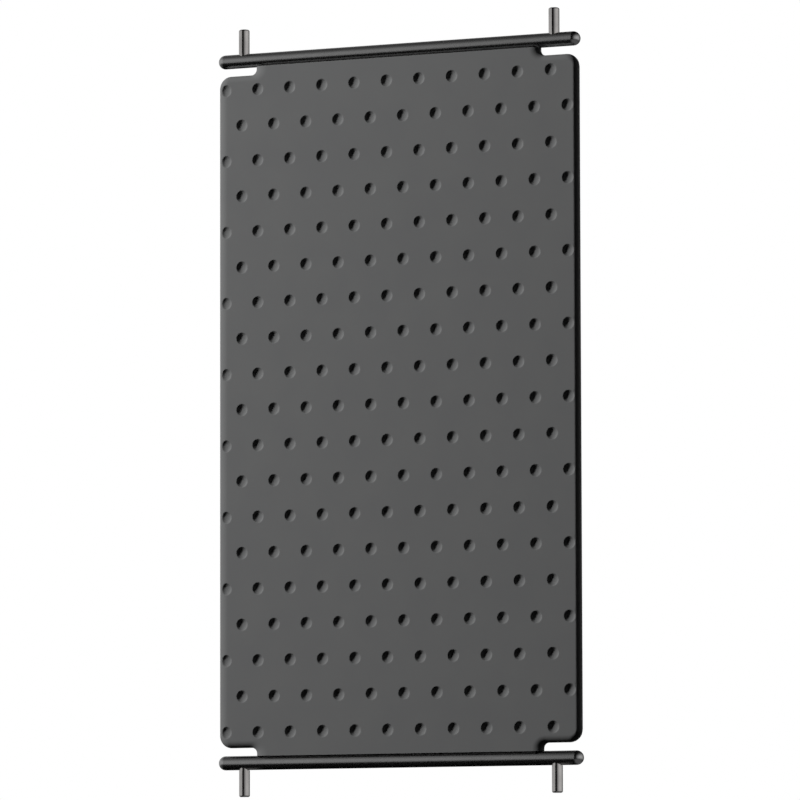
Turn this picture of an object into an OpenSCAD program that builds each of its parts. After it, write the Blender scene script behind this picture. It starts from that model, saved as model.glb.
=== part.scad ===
// Dimpled double-skin display panel with a round bar and two plug-in pins at each end.
// Frame: +X to the right, +Y to the rear, +Z up. The origin is midway between the lower pins,
// on the underside of the bottom bar. The panel stands upright and its dimpled face looks to -Y.
// The sheet parts are drawn lying flat (X, Y in the panel's plane, +Z out of the dimpled face)
// about the panel's centre, and upright() stands them up.

/* [Panel] */
// Overall width of the panel
panel_width = 280.4; // [276:0.1:282]
// Overall thickness of the panel, which its full-round edges share
panel_depth = 10; // [9:0.2:11]
// Sheet steel thickness of both skins
sheet_t = 1; // [0.8:0.1:1.2]
// Width of the tab that reaches the bar at each end
tab_width = 222; // [214:1:230]
// Radius of the panel's four outer corners
corner_r = 9; // [7:0.5:14]
// Radius of the fillet where a tab meets the wing beside it
neck_r = 4; // [2:0.5:5]
// Open gap between the bar and the wing edge
wing_gap = 5.6; // [5:0.1:8]
// How far the bar sinks into the end of the tab
bar_sink = 0.2; // [0.1:0.1:0.8]

/* [Dimples] */
// Distance between neighbouring dimples in a row, and between rows
pitch = 25.4; // [24:0.1:26]
// Number of dimples in each row
columns = 11; // [5:2:11]
// Number of rows
rows = 19; // [5:2:19]
// Diameter of a dimple at the face of the sheet
dimple_d = 8.6; // [8:0.1:10]
// Depth of a dimple
dimple_depth = 2.2; // [2:0.1:3]
// Thickness of the stretched sheet at the back of a dimple
pressed_t = 0.55; // [0.4:0.05:0.6]

/* [Bars] */
// Diameter of the bars
bar_d = 10; // [9:0.5:12]
// Overall length of a bar, with its domed ends
bar_length = 282; // [282:1:290]
// Distance between the axes of the two bars
bar_spacing = 500; // [498:1:510]

/* [Pins] */
// Diameter of the pins
pin_d = 7.6; // [7:0.1:8]
// Distance between the axes of the two pins on a bar
pin_spacing = 242.5; // [236:0.5:250]
// Length of an upper pin that stands clear of its bar
upper_pin_free = 17.5; // [15:0.5:25]
// Length of a lower pin that stands clear of its bar
lower_pin_free = 19; // [15:0.5:25]
// Radius of the rounding at a pin's tip
pin_tip_r = 1.2; // [0.5:0.1:2]
// How much narrower a pin's turned foot is than the pin
foot_step = 0.4; // [0.2:0.1:1]
// Diameter of the spigot that holds a pin in its bar
spigot_d = 5; // [4:0.5:5]
// Length of that spigot
spigot_length = 6.5; // [5:0.5:7]

/* [Inner frame] */
// Height of the saddle bar that closes a tab and carries the round bar
saddle_height = 12; // [8:1:16]
// Distance from the centre stiffener to the one on each side of it
stiffener_step = 88.9; // [50:0.1:92]
// Width of a stiffener's crown
crown_width = 24; // [16:1:30]
// Width of each of its two flanges
flange_width = 10; // [6:1:14]

/* [Hidden] */
$fn = 48;

// Clearance round a part that is brazed or spot-welded in its seat
seat_gap = 0.05;
// Clearance between the parts inside the panel
inner_gap = 0.2;
// Height of a pin's shoulder over the crown of its bar
shoulder_gap = 0.3;
// Extra length that lets a cutting shape run clear of the surface it cuts
over = 1;
// Depth by which two joined shapes share their material
lap = 0.02;

edge_r = panel_depth / 2;              // radius of the full-round edge
inner_r = edge_r - sheet_t;            // radius of its inside
bar_r = bar_d / 2;
half_tab = tab_width / 2;
half_width = panel_width / 2;
half_spacing = bar_spacing / 2;
tab_end = half_spacing - bar_r + bar_sink;
wing_top = half_spacing - bar_r - wing_gap;

// Centre of the corner arc and of the neck fillet, in the upper right quarter
corner_c = [half_width - corner_r, wing_top - corner_r];
neck_c = [half_tab + neck_r, wing_top + neck_r];

// A dimple is a bowl, part of a sphere that is centred in front of the sheet
bowl_r = (pow(dimple_d / 2, 2) + pow(dimple_depth, 2)) / (2 * dimple_depth);
bowl_z = edge_r - dimple_depth + bowl_r;
bowl_back = edge_r - dimple_depth - pressed_t;

// A pin's foot stands on a flat seat that is cut as deep as its full circle needs
pin_r = pin_d / 2;
foot_r = pin_r - foot_step / 2;
seat_h = sqrt(bar_r * bar_r - foot_r * foot_r) - seat_gap;

// Stands a flat-drawn part up at the panel's place
module upright() {
    translate([0, 0, bar_r + half_spacing]) rotate([90, 0, 0]) children();
}

// Repeats a shape of the upper right quarter in all four quarters
module four_ways() {
    for (right = [0, 1], top = [0, 1])
        mirror([right, 0, 0]) mirror([0, top, 0]) children();
}

// The panel's outline, set in by the radius of its rounded edge
module flat_area() {
    side_x = half_width - edge_r;
    tab_x = half_tab - edge_r;
    wing_y = wing_top - edge_r;
    four_ways() {
        polygon([[0, 0], [0, tab_end], [tab_x, tab_end], [tab_x, wing_y],
                 [corner_c.x, wing_y], corner_c, [side_x, corner_c.y], [side_x, 0]]);
        translate(corner_c) circle(corner_r - edge_r);
        difference() {
            translate([tab_x, wing_y]) square(neck_r + edge_r);
            translate(neck_c) circle(neck_r + edge_r);
        }
    }
}

// Runs an edge section along a straight stretch from a point, facing outwards at angle a
module straight_edge(from, a, length) {
    translate(from) rotate(a) rotate([90, 0, 0]) linear_extrude(length) children();
}

// Runs an edge section, drawn as [outwards, towards the face], round the panel
module round_the_edge() {
    four_ways() {
        straight_edge([half_tab - edge_r, tab_end], 0, tab_end - neck_c.y) children();
        translate(neck_c) rotate(180) rotate_extrude(angle = 90)
            translate([neck_r + edge_r, 0]) mirror([1, 0]) children();
        straight_edge([neck_c.x, wing_top - edge_r], 90, corner_c.x - neck_c.x) children();
        translate(corner_c) rotate_extrude(angle = 90)
            translate([corner_r - edge_r, 0]) children();
    }
    for (right = [0, 1])
        mirror([right, 0, 0])
            straight_edge([half_width - edge_r, corner_c.y], 0, 2 * corner_c.y) children();
}

// Quarter of a disc, in the first quadrant
module quarter_disc(r) {
    intersection() {
        circle(r);
        square(r);
    }
}

// One pressed skin with its edge rolled back to the panel's middle plane
module skin() {
    translate([0, 0, inner_r]) linear_extrude(sheet_t) flat_area();
    round_the_edge()
        difference() {
            quarter_disc(edge_r);
            quarter_disc(inner_r);
        }
}

// Puts a shape at each dimple: every second row is shifted by half a pitch. The shape is turned
// a little, so that the seam of a round shape doesn't fall on the line where the edge starts.
module at_dimples() {
    for (row = [0 : rows - 1], column = [0 : columns - 1]) {
        shift = row % 2 == 0 ? -pitch / 4 : pitch / 4;
        translate([(column - (columns - 1) / 2) * pitch + shift,
                   ((rows - 1) / 2 - row) * pitch, bowl_z])
            rotate(45) children();
    }
}

// Back of a pressed dimple: the cap of a larger sphere, which starts just inside the sheet
module dimple_back() {
    back_r = bowl_r + pressed_t;
    cap_top = inner_r + lap - bowl_z;
    rotate_extrude()
        intersection() {
            circle(back_r);
            translate([0, -back_r]) square([back_r, back_r + cap_top]);
        }
}

module front_skin() {
    color("dimgray") upright()
        difference() {
            union() {
                skin();
                at_dimples() dimple_back();
            }
            at_dimples() sphere(bowl_r);
        }
}

module back_skin() {
    color("dimgray") upright() mirror([0, 0, 1]) skin();
}

// Solid strip between the skins that closes one tab and carries the round bar
module saddle() {
    width = tab_width - 2 * edge_r;
    depth = 2 * (inner_r - seat_gap);
    difference() {
        translate([-width / 2, tab_end - saddle_height, -depth / 2])
            cube([width, saddle_height, depth]);
        translate([-width, half_spacing, 0]) rotate([0, 90, 0])
            cylinder(r = bar_r + seat_gap, h = 2 * width);
    }
}

module top_saddle() {
    color("gray") upright() saddle();
}

module bottom_saddle() {
    color("gray") upright() mirror([0, 1, 0]) saddle();
}

// Hat channel behind the dimples, between the two saddles
module stiffener(x) {
    length = 2 * (tab_end - saddle_height - inner_gap);
    half_crown = crown_width / 2;
    reach = half_crown + flange_width;
    crown_z = bowl_back - seat_gap;
    base_z = -inner_r + seat_gap;
    translate([x, length / 2, 0]) rotate([90, 0, 0]) linear_extrude(length)
        polygon([[-reach, base_z], [-half_crown + sheet_t, base_z],
                 [-half_crown + sheet_t, crown_z - sheet_t], [half_crown - sheet_t, crown_z - sheet_t],
                 [half_crown - sheet_t, base_z], [reach, base_z], [reach, base_z + sheet_t],
                 [half_crown, base_z + sheet_t], [half_crown, crown_z], [-half_crown, crown_z],
                 [-half_crown, base_z + sheet_t], [-reach, base_z + sheet_t]]);
}

module left_stiffener() {
    color("darkgray") upright() stiffener(-stiffener_step);
}

module centre_stiffener() {
    color("darkgray") upright() stiffener(0);
}

module right_stiffener() {
    color("darkgray") upright() stiffener(stiffener_step);
}

// Round bar along X about the origin, with domed ends and two seats that open upwards
module round_bar() {
    straight = bar_length - bar_d;
    difference() {
        translate([-straight / 2, 0, 0]) rotate([0, 90, 0])
            rotate_extrude() intersection() {
                union() {
                    circle(bar_r);
                    translate([0, straight]) circle(bar_r);
                    square([bar_r, straight]);
                }
                translate([0, -bar_r]) square([bar_r, bar_length]);
            }
        for (side = [-1, 1]) translate([side * pin_spacing / 2, 0, seat_h]) {
            cylinder(r = foot_r + seat_gap, h = bar_r);
            translate([0, 0, -spigot_length - over])
                cylinder(d = spigot_d + 2 * seat_gap, h = spigot_length + 2 * over);
        }
    }
}

// Pin that stands up from its seat on a turned foot, with its spigot below it
module pin(free_length) {
    top = bar_r + free_length;
    shoulder = bar_r + shoulder_gap;
    rotate_extrude() {
        translate([0, seat_h - spigot_length]) square([spigot_d / 2, spigot_length]);
        translate([0, seat_h]) square([foot_r, shoulder - seat_h]);
        translate([0, shoulder]) square([pin_r, top - pin_tip_r - shoulder]);
        translate([0, top - pin_tip_r]) square([pin_r - pin_tip_r, pin_tip_r]);
        translate([pin_r - pin_tip_r, top - pin_tip_r]) quarter_disc(pin_tip_r);
    }
}

// Places a part made about a bar's axis on the top bar, or upside down on the bottom bar
module on_top_bar() {
    translate([0, 0, bar_r + bar_spacing]) children();
}

module on_bottom_bar() {
    translate([0, 0, bar_r]) mirror([0, 0, 1]) children();
}

module top_bar() {
    color("black") on_top_bar() round_bar();
}

module bottom_bar() {
    color("black") on_bottom_bar() round_bar();
}

module upper_left_pin() {
    color("silver") on_top_bar() translate([-pin_spacing / 2, 0, 0]) pin(upper_pin_free);
}

module upper_right_pin() {
    color("silver") on_top_bar() translate([pin_spacing / 2, 0, 0]) pin(upper_pin_free);
}

module lower_left_pin() {
    color("silver") on_bottom_bar() translate([-pin_spacing / 2, 0, 0]) pin(lower_pin_free);
}

module lower_right_pin() {
    color("silver") on_bottom_bar() translate([pin_spacing / 2, 0, 0]) pin(lower_pin_free);
}

front_skin();
back_skin();
top_saddle();
bottom_saddle();
left_stiffener();
centre_stiffener();
right_stiffener();
top_bar();
bottom_bar();
upper_left_pin();
upper_right_pin();
lower_left_pin();
lower_right_pin();
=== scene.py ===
"""Looks of the dimpled display panel: a smooth pressed front skin, powder coats, steel and studio light."""
import math

import bpy
import numpy as np
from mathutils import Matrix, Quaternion, Vector
from mathutils.geometry import delaunay_2d_cdt


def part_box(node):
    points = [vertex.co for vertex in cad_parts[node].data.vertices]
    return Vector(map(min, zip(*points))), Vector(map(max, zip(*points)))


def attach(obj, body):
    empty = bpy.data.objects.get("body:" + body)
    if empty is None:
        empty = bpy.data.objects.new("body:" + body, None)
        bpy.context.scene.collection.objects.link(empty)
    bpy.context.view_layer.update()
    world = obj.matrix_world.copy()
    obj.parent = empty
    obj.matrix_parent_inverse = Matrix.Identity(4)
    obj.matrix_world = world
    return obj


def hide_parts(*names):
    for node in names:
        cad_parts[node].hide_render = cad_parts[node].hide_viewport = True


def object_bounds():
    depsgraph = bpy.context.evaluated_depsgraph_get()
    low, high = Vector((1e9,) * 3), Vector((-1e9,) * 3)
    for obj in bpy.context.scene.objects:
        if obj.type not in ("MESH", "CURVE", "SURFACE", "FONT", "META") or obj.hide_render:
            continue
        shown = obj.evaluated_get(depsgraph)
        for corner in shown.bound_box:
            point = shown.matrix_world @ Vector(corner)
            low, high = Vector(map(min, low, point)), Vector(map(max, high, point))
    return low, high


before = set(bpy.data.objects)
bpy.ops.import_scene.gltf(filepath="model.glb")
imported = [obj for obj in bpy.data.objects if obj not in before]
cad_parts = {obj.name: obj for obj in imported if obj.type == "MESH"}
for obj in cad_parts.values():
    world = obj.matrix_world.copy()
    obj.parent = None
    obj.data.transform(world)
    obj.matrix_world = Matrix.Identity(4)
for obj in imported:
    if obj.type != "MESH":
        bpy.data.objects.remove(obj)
cad_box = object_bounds()

MM = 0.001

# ---------------------------------------------------------------- the panel's dimensions, in millimetres
skin_low, skin_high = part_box("front_skin")
tab_low, tab_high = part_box("top_saddle")
CENTRE_Z = (skin_low.z + skin_high.z) / 2
HALF_WIDTH = skin_high.x / MM
TAB_END = (skin_high.z - CENTRE_Z) / MM
EDGE_R = -skin_low.y / MM                       # the panel's half thickness
HALF_TAB = tab_high.x / MM + EDGE_R
WING_TOP = 239.4                                # from the panel's middle to the wings' edges
CORNER_R = 9.0
NECK_R = 4.0
SHEET = 1.0
PITCH = 25.4
COLUMNS = 11
ROWS = 19
DIMPLE_R = 4.3
DIMPLE_DEPTH = 2.2
PRESSED = 0.55                                  # stretched sheet at the back of a dimple
WALL_POWER = 3                                  # a dimple has a steep wall and a nearly flat bottom

# In-plane width of the rolled edge. It is EDGE_R along the wings and differs at the sides and tabs.
ROLL_LEFT = 8.0
ROLL_RIGHT = 2.8
ROLL_TAB_LEFT = 10.5
ROLL_TAB_RIGHT = 6.5
RIM_BLEND = 0.4                                 # height over which a dimple's rim is rounded
GUARD = 0.6                                     # flat strip that keeps the flat's normals straight
ROLL_STEPS = [0, 4, 10, 18, 27, 36, 45, 54, 63, 72, 81, 90]
DISC_R = 5.3                                    # radius of the round patch of mesh about each dimple
FACE_RINGS = [4.8, 4.5, 4.3, 4.1, 3.75, 3.2, 2.5, 1.6]
FACE_SEGMENTS = 32
BACK_RINGS = [4.8, 4.0, 2.8]
BACK_SEGMENTS = 12


# ---------------------------------------------------------------- shape of the front skin
def smoothstep(t):
    t = min(max(t, 0.0), 1.0)
    return t * t * (3 - 2 * t)


def arc_points(centre, radius, start, end, step=0.8):
    """Points and directions along an arc, in degrees, without the last one."""
    count = max(4, round(radius * abs(math.radians(end - start)) / step))
    angles = np.radians(np.linspace(start, end, count, endpoint=False))
    directions = np.stack([np.cos(angles), np.sin(angles)], axis=1)
    return np.array(centre) + radius * directions, directions


def line_points(start, end, normal, step=2.54):
    """Points along a line without the last one, each with the same normal."""
    start, end = np.array(start, float), np.array(end, float)
    count = max(2, round(np.linalg.norm(end - start) / step))
    points = start + np.linspace(0, 1, count, endpoint=False)[:, None] * (end - start)
    return points, np.tile(np.array(normal, float), (count, 1))


def edge_chain(side):
    """One side's outline from the upper tab end to the lower one: points, outward normals, roll widths."""
    neck = np.array([HALF_TAB + NECK_R, WING_TOP + NECK_R])
    corner = np.array([HALF_WIDTH - CORNER_R, WING_TOP - CORNER_R])
    wide, tab = (ROLL_LEFT, ROLL_TAB_LEFT) if side < 0 else (ROLL_RIGHT, ROLL_TAB_RIGHT)
    runs = []
    points, normals = line_points((HALF_TAB, TAB_END), (HALF_TAB, neck[1]), (1, 0), 0.8)
    runs.append((points, normals, np.full(len(points), tab)))
    points, rays = arc_points(neck, NECK_R, 180, 270, 0.5)
    blend = [smoothstep(i / len(points)) for i in range(len(points))]
    runs.append((points, -rays, tab + np.array(blend) * (EDGE_R - tab)))
    points, normals = line_points((neck[0], WING_TOP), (corner[0], WING_TOP), (0, 1))
    runs.append((points, normals, np.full(len(points), EDGE_R)))
    points, rays = arc_points(corner, CORNER_R, 90, 0)
    blend = [smoothstep(i / len(points)) for i in range(len(points))]
    runs.append((points, rays, EDGE_R + np.array(blend) * (wide - EDGE_R)))
    points, normals = line_points((HALF_WIDTH, corner[1]), (HALF_WIDTH, 0), (1, 0))
    runs.append((points, normals, np.full(len(points), wide)))
    upper = [np.concatenate(part) for part in zip(*runs)]
    middle = [np.array([[HALF_WIDTH, 0.0]]), np.array([[1.0, 0.0]]), np.array([wide])]
    flip = np.array([1, -1])
    lower = [upper[0][::-1] * flip, upper[1][::-1] * flip, upper[2][::-1]]
    points, normals, widths = (np.concatenate(part) for part in zip(upper, middle, lower))
    mirror = np.array([side, 1])
    return points * mirror, normals * mirror, widths


def dimple_centres():
    """Every second row is shifted by half a pitch."""
    centres = []
    for row in range(ROWS):
        shift = -PITCH / 4 if row % 2 == 0 else PITCH / 4
        for column in range(COLUMNS):
            centres.append(((column - (COLUMNS - 1) / 2) * PITCH + shift,
                            ((ROWS - 1) / 2 - row) * PITCH))
    return np.array(centres)


CENTRES = dimple_centres()
CHAINS = {side: edge_chain(side) for side in (-1, 1)}


def rolled_height(at, inset):
    """Height of the sheet without its dimples. inset is 0 on the outside and SHEET on the inside."""
    points = np.concatenate([CHAINS[side][0] for side in (-1, 1)])
    normals = np.concatenate([CHAINS[side][1] for side in (-1, 1)])
    widths = np.concatenate([CHAINS[side][2] for side in (-1, 1)])
    height = np.full(len(at), EDGE_R - inset)
    near = np.nonzero(np.abs(at[:, 0]) > HALF_WIDTH - 3 * EDGE_R)[0]
    for i in near:
        k = np.argmin(((points - at[i]) ** 2).sum(1))
        distance = (points[k] - at[i]) @ normals[k] - inset
        turn = min(max(1 - distance / (widths[k] - inset), 0.0), 1.0)
        height[i] = (EDGE_R - inset) * math.sqrt(1 - turn * turn)
    return height


def dimpled_height(at, centre, inset):
    """Height of the sheet near one dimple, with the rim blended smoothly."""
    plain = rolled_height(at, inset)
    stretch = PRESSED if inset else 0
    away = np.sqrt(((at - centre) ** 2).sum(1)) / (DIMPLE_R + stretch)
    bowl = EDGE_R - (DIMPLE_DEPTH + stretch) * (1 - away**WALL_POWER)
    share = np.maximum(RIM_BLEND - np.abs(plain - bowl), 0) / RIM_BLEND
    return np.minimum(plain, bowl) - share * share * RIM_BLEND / 4


def sheet_surface(inset, segments, radii):
    """One face of the pressed sheet: its vertices, triangles and the numbers of its border vertices."""
    flat, heights, edges, border = [], [], [], {}
    levels = [None] + ROLL_STEPS
    for side in (-1, 1):
        points, normals, widths = CHAINS[side]
        grid = np.full((len(points), len(levels)), -1)
        for j, step in enumerate(levels):
            turn = math.radians(step or 0)
            reach = (widths - inset) * (1 - math.sin(turn)) + inset + (GUARD if step is None else 0)
            ring = points - normals * reach[:, None]
            ring[[0, -1], 1] = [TAB_END, -TAB_END]
            clear = np.array([((CENTRES - p) ** 2).sum(1).min() for p in ring]) > (DISC_R + 0.3) ** 2
            for i in np.nonzero(clear)[0]:
                grid[i, j] = len(flat)
                flat.append(ring[i])
                heights.append((EDGE_R - inset) * math.cos(turn))
            edges += [(grid[i, j], grid[i + 1, j]) for i in range(len(points) - 1)
                      if grid[i, j] >= 0 and grid[i + 1, j] >= 0]
        for i in (0, -1):
            edges += [(grid[i, j], grid[i, j + 1]) for j in range(len(levels) - 1)]
        border[side] = grid
    edges += [(border[-1][i, 0], border[1][i, 0]) for i in (0, -1)]
    turns = np.linspace(0, 2 * math.pi, segments, endpoint=False)
    circle = np.stack([np.cos(turns), np.sin(turns)], axis=1)
    rings = []
    for centre in CENTRES:
        at = centre + DISC_R * circle
        rings.append(np.arange(segments) + len(flat))
        heights += list(dimpled_height(at, centre, inset))
        flat += list(at)
        edges += [(rings[-1][k], rings[-1][(k + 1) % segments]) for k in range(segments)]
    out, _, faces, sources, _, _ = delaunay_2d_cdt(
        [Vector(p) for p in flat], [(int(a), int(b)) for a, b in edges], [], 1, 1e-5)
    number = {source: k for k, found in enumerate(sources) for source in found}
    at = np.array([tuple(p) for p in out])
    height = np.array([heights[found[0]] if found else np.nan for found in sources])
    unknown = np.nonzero(np.isnan(height))[0]
    if len(unknown):
        height[unknown] = rolled_height(at[unknown], inset)
    faces = np.array(faces)
    middle = at[faces].mean(1)
    wedge = 2 * math.pi / segments
    keep = np.ones(len(faces), bool)
    for centre in CENTRES:
        close = np.nonzero(np.abs(middle - centre).max(1) < DISC_R)[0]
        arm = middle[close] - centre
        turn = np.mod(np.arctan2(arm[:, 1], arm[:, 0]), wedge) - wedge / 2
        keep[close] &= np.linalg.norm(arm, axis=1) * np.cos(turn) > DISC_R * math.cos(wedge / 2)
    vertices = [np.column_stack([at, height])]
    triangles = [faces[keep]]
    count = len(at)
    for centre, ring in zip(CENTRES, rings):
        outer = np.array([number[k] for k in ring])
        for radius in radii:
            spots = centre + radius * circle
            vertices.append(np.column_stack([spots, dimpled_height(spots, centre, inset)]))
            inner = np.arange(segments) + count
            count += segments
            triangles += [np.column_stack([outer, np.roll(outer, -1), np.roll(inner, -1)]),
                          np.column_stack([outer, np.roll(inner, -1), inner])]
            outer = inner
        spot = centre[None, :]
        vertices.append(np.column_stack([spot, dimpled_height(spot, centre, inset)]))
        triangles.append(np.column_stack([outer, np.roll(outer, -1), np.full(segments, count)]))
        count += 1
    vertices, triangles = np.concatenate(vertices), np.concatenate(triangles)
    a, b, c = (vertices[triangles[:, i], :2] for i in range(3))
    turned = (b[:, 0] - a[:, 0]) * (c[:, 1] - a[:, 1]) < (b[:, 1] - a[:, 1]) * (c[:, 0] - a[:, 0])
    triangles[turned] = triangles[turned][:, ::-1]
    loop = []
    for side, order in ((1, 1), (-1, -1)):
        grid = border[side][::order]
        loop += list(grid[0, :]) + list(grid[1:-1, -1]) + list(grid[-1, ::-1])
    return vertices, triangles, [number[k] for k in loop]


def make_front_skin():
    """Both faces of the pressed sheet, joined along the rim."""
    face, face_triangles, face_loop = sheet_surface(0.0, FACE_SEGMENTS, FACE_RINGS)
    back, back_triangles, back_loop = sheet_surface(SHEET, BACK_SEGMENTS, BACK_RINGS)
    first = len(face)
    faces = [tuple(map(int, t)) for t in face_triangles]
    faces += [tuple(int(k) + first for k in t[::-1]) for t in back_triangles]
    back_loop = [k + first for k in back_loop]
    rim = []
    for k in range(len(face_loop)):
        n = (k + 1) % len(face_loop)
        faces.append((face_loop[n], face_loop[k], back_loop[k], back_loop[n]))
        rim += [frozenset((face_loop[k], face_loop[n])), frozenset((back_loop[k], back_loop[n]))]
    points = np.concatenate([face, back]) * MM
    mesh = bpy.data.meshes.new("pressed_front_skin")
    mesh.from_pydata([(x, -h, z + CENTRE_Z) for x, z, h in points], [], faces)
    mesh.validate()
    mesh.polygons.foreach_set("use_smooth", [True] * len(mesh.polygons))
    rim = set(rim)
    for edge in mesh.edges:
        edge.use_edge_sharp = frozenset(edge.vertices) in rim
    piece = bpy.data.objects.new("pressed_front_skin", mesh)
    bpy.context.scene.collection.objects.link(piece)
    return piece


# ---------------------------------------------------------------- materials
class Nodes:
    """A material's node tree with short ways to add to it."""

    def __init__(self, name):
        self.material = bpy.data.materials.new(name)
        self.material.use_nodes = True
        self.tree = self.material.node_tree
        self.shader = next(n for n in self.tree.nodes if n.type == "BSDF_PRINCIPLED")
        self.place = self.add("ShaderNodeTexCoord").outputs["Object"]

    def add(self, kind, **inputs):
        node = self.tree.nodes.new(kind)
        for key, value in inputs.items():
            node.inputs[key.replace("_", " ")].default_value = value
        return node

    def link(self, out, socket):
        self.tree.links.new(out, socket)

    def noise(self, scale, detail=2.0, stretch=None, roughness=0.5):
        """Noise over the object's own coordinates, with about scale bumps to a metre."""
        node = self.add("ShaderNodeTexNoise", Scale=scale, Detail=detail, Roughness=roughness)
        place = self.place
        if stretch:
            mapping = self.add("ShaderNodeMapping")
            mapping.inputs["Scale"].default_value = stretch
            self.link(place, mapping.inputs["Vector"])
            place = mapping.outputs["Vector"]
        self.link(place, node.inputs["Vector"])
        return node.outputs["Fac"]

    def ramp(self, value, low, high, socket, start=0.35, end=0.65):
        """Turns a value into a range of numbers or of greys with a tint."""
        if isinstance(low, tuple):
            node = self.add("ShaderNodeValToRGB")
            node.color_ramp.elements[0].position = start
            node.color_ramp.elements[0].color = (*low, 1)
            node.color_ramp.elements[1].position = end
            node.color_ramp.elements[1].color = (*high, 1)
            self.link(value, node.inputs["Fac"])
            self.link(node.outputs["Color"], self.shader.inputs[socket])
            return
        node = self.add("ShaderNodeMapRange")
        node.inputs["From Min"].default_value = start
        node.inputs["From Max"].default_value = end
        node.inputs["To Min"].default_value = low
        node.inputs["To Max"].default_value = high
        self.link(value, node.inputs["Value"])
        self.link(node.outputs["Result"], self.shader.inputs[socket])

    def bump(self, layers):
        """Bumps from several (value, height in metres) layers, one over the other."""
        last = None
        for value, height in layers:
            node = self.add("ShaderNodeBump", Distance=height)
            self.link(value, node.inputs["Height"])
            if last:
                self.link(last.outputs["Normal"], node.inputs["Normal"])
            last = node
        self.link(last.outputs["Normal"], self.shader.inputs["Normal"])


def powder_coat(name, dark, light, smooth, rough, peel, metal=0.0, level=0.5):
    """Baked powder coat: a faint cloudiness, a fine grain and a low orange peel."""
    nodes = Nodes(name)
    nodes.ramp(nodes.noise(38, 4), dark, light, "Base Color")
    nodes.ramp(nodes.noise(900, 3), smooth, rough, "Roughness")
    nodes.bump([(nodes.noise(420, 2), peel), (nodes.noise(2600, 2), peel * 0.12)])
    nodes.shader.inputs["Metallic"].default_value = metal
    nodes.shader.inputs["Specular IOR Level"].default_value = level
    return nodes.material


def drawn_steel(name, dark, light, smooth, rough, along):
    """Steel with fine drawing lines along one axis and a faint cloudiness across them."""
    nodes = Nodes(name)
    stretch = [1.0, 1.0, 1.0]
    stretch[along] = 0.02
    lines = nodes.noise(5000, 3, stretch)
    nodes.ramp(nodes.noise(120, 3), dark, light, "Base Color")
    nodes.ramp(lines, smooth, rough, "Roughness")
    nodes.bump([(lines, 0.000004), (nodes.noise(300, 2), 0.00001)])
    nodes.shader.inputs["Metallic"].default_value = 1.0
    return nodes.material


panel_paint = powder_coat("panel_paint", (0.116, 0.117, 0.118), (0.12, 0.121, 0.121), 0.52, 0.6, 0.00001,
                          level=0.12)
bar_paint = powder_coat("bar_paint", (0.54, 0.54, 0.54), (0.58, 0.58, 0.58), 0.24, 0.28, 0.000001, metal=1.0)
pin_steel = drawn_steel("pin_steel", (0.62, 0.60, 0.59), (0.72, 0.70, 0.685), 0.12, 0.2, along=2)
inner_steel = drawn_steel("inner_steel", (0.42, 0.42, 0.42), (0.5, 0.5, 0.5), 0.4, 0.55, along=0)

front_skin = make_front_skin()
front_skin.data.materials.append(panel_paint)
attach(front_skin, "root")
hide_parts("front_skin")

FINISHES = {
    "back_skin": panel_paint,
    "top_bar": bar_paint,
    "bottom_bar": bar_paint,
    "upper_left_pin": pin_steel,
    "upper_right_pin": pin_steel,
    "lower_left_pin": pin_steel,
    "lower_right_pin": pin_steel,
    "top_saddle": inner_steel,
    "bottom_saddle": inner_steel,
    "left_stiffener": inner_steel,
    "centre_stiffener": inner_steel,
    "right_stiffener": inner_steel,
}
for node_name, finish in FINISHES.items():
    cad_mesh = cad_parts[node_name].data
    cad_mesh.materials.clear()
    cad_mesh.materials.append(finish)


# ---------------------------------------------------------------- camera
CAMERA_AZIMUTH = 25.70                          # degrees to the right of the panel's face
CAMERA_ELEVATION = -4.88
CAMERA_ROLL = -0.14
CAMERA_DISTANCE = 4.51
AIM = Vector((0.0014, 0, CENTRE_Z + 0.0027))

camera = bpy.data.objects.new("camera", bpy.data.cameras.new("camera"))
bpy.context.scene.collection.objects.link(camera)
azimuth, elevation = math.radians(CAMERA_AZIMUTH), math.radians(CAMERA_ELEVATION)
towards = Vector((math.sin(azimuth) * math.cos(elevation),
                  -math.cos(azimuth) * math.cos(elevation),
                  math.sin(elevation)))
camera.location = AIM + towards * CAMERA_DISTANCE
camera.rotation_mode = "QUATERNION"
roll = Quaternion((0, 0, 1), math.radians(CAMERA_ROLL))
camera.rotation_quaternion = (-towards).to_track_quat("-Z", "Y") @ roll
camera.data.lens = 289.2
camera.data.sensor_width = 36
bpy.context.scene.camera = camera


# ---------------------------------------------------------------- light, floor and surroundings
def area_light(name, place, power, width, height, aim=(0, 0, CENTRE_Z)):
    """A soft box that the camera doesn't see."""
    data = bpy.data.lights.new(name, "AREA")
    data.shape = "RECTANGLE"
    data.size = width
    data.size_y = height
    data.energy = power
    lamp = bpy.data.objects.new(name, data)
    bpy.context.scene.collection.objects.link(lamp)
    lamp.location = place
    lamp.rotation_mode = "QUATERNION"
    lamp.rotation_quaternion = (Vector(aim) - Vector(place)).to_track_quat("-Z", "Y")
    lamp.visible_camera = False
    return lamp


for lamp in (area_light("key", (-2.1, -1.54, 1.35), 126, 0.35, 0.6),
             area_light("back_fill", (0.3, 3.0, 0.9), 110, 3.0, 2.4)):
    lamp.visible_glossy = False                 # reflections come from the surroundings instead

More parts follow.
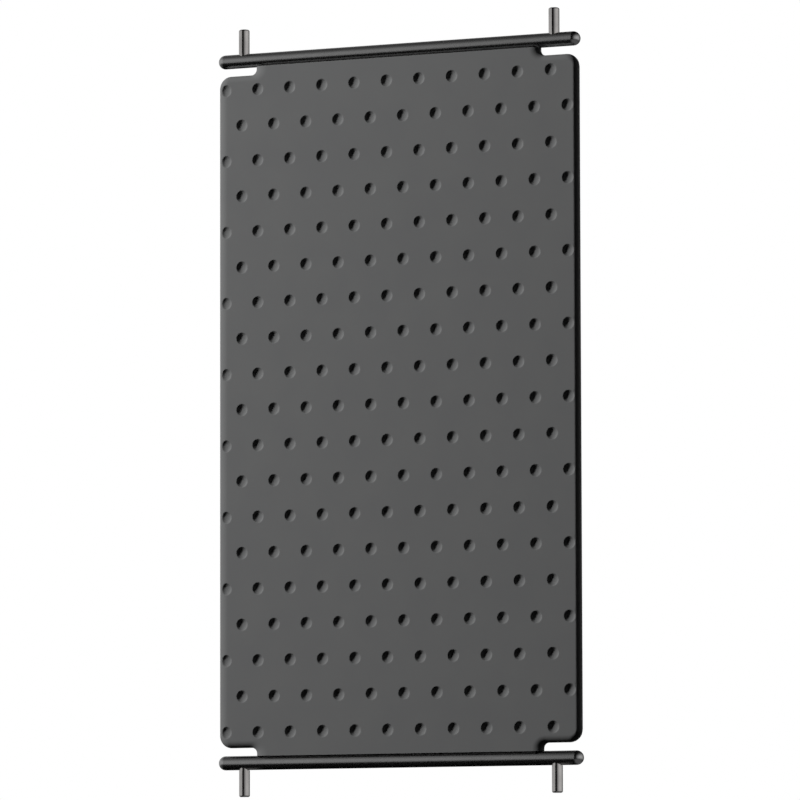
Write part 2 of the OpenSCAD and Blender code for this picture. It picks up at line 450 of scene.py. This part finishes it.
FLOOR_Z = cad_box[0].z - 0.28
bpy.ops.mesh.primitive_plane_add(size=30, location=(0, 0, FLOOR_Z))
floor = bpy.context.object
floor.name = "floor"
floor_look = Nodes("floor_paper")
floor_look.ramp(floor_look.noise(6, 3), (0.3, 0.3, 0.3), (0.32, 0.32, 0.32), "Base Color")
floor_look.shader.inputs["Roughness"].default_value = 0.9
floor_look.shader.inputs["Emission Color"].default_value = (1, 1, 1, 1)
floor_look.shader.inputs["Emission Strength"].default_value = 0.62
floor.data.materials.append(floor_look.material)
floor.visible_diffuse = False
floor.visible_glossy = False


LEFT_WALL = 0.45                                # brightness of the surroundings in reflections
RIGHT_WALL = 0.55
GROUND = 0.12
BAR_STRIPE_X = -0.44                            # the direction in which the bars mirror the room


def surroundings():
    """White behind the object. In reflections, a grey wall on each side, a dark front and a pale ground."""
    world = bpy.data.worlds.new("studio")
    bpy.context.scene.world = world
    world.use_nodes = True
    world.cycles_visibility.diffuse = False
    tree = world.node_tree
    tree.nodes.clear()
    new, link = tree.nodes.new, tree.links.new

    def maths(kind, first, second, clamp=False):
        node = new("ShaderNodeMath")
        node.operation = kind
        node.use_clamp = clamp
        for socket, value in zip(node.inputs, (first, second)):
            if isinstance(value, (int, float)):
                socket.default_value = value
            else:
                link(value, socket)
        return node.outputs[0]

    split = new("ShaderNodeSeparateXYZ")
    link(new("ShaderNodeTexCoord").outputs["Generated"], split.inputs[0])
    x, y, z = split.outputs
    left = maths("MULTIPLY", maths("SUBTRACT", -0.36, x), 10.0, clamp=True)
    right = maths("MULTIPLY", maths("SUBTRACT", x, 0.18), 1.3, clamp=True)
    above = maths("MULTIPLY", maths("ADD", z, 0.4), 4.0, clamp=True)
    below = maths("MULTIPLY", maths("SUBTRACT", 1.0, z), 1.7, clamp=True)
    walls = maths("ADD", maths("MULTIPLY", left, LEFT_WALL), maths("MULTIPLY", right, RIGHT_WALL))
    low = maths("MULTIPLY", maths("SUBTRACT", -0.3, z), 4.0, clamp=True)
    off_stripe = maths("SUBTRACT", maths("ABSOLUTE", maths("SUBTRACT", x, BAR_STRIPE_X), 0), 0.2)
    ground = maths("MULTIPLY", low, maths("MULTIPLY", off_stripe, 8.0, clamp=True))
    room = maths("ADD", maths("MULTIPLY", walls, maths("MULTIPLY", above, below)),
                 maths("MULTIPLY", ground, GROUND))
    seen = new("ShaderNodeBackground")
    seen.inputs["Color"].default_value = (1, 1, 1, 1)
    reflected = new("ShaderNodeBackground")
    reflected.inputs["Color"].default_value = (1, 1, 1, 1)
    link(room, reflected.inputs["Strength"])
    mix = new("ShaderNodeMixShader")
    link(new("ShaderNodeLightPath").outputs["Is Camera Ray"], mix.inputs[0])
    link(reflected.outputs[0], mix.inputs[1])
    link(seen.outputs[0], mix.inputs[2])
    link(mix.outputs[0], new("ShaderNodeOutputWorld").inputs[0])


surroundings()
bpy.context.scene.view_settings.view_transform = "Standard"
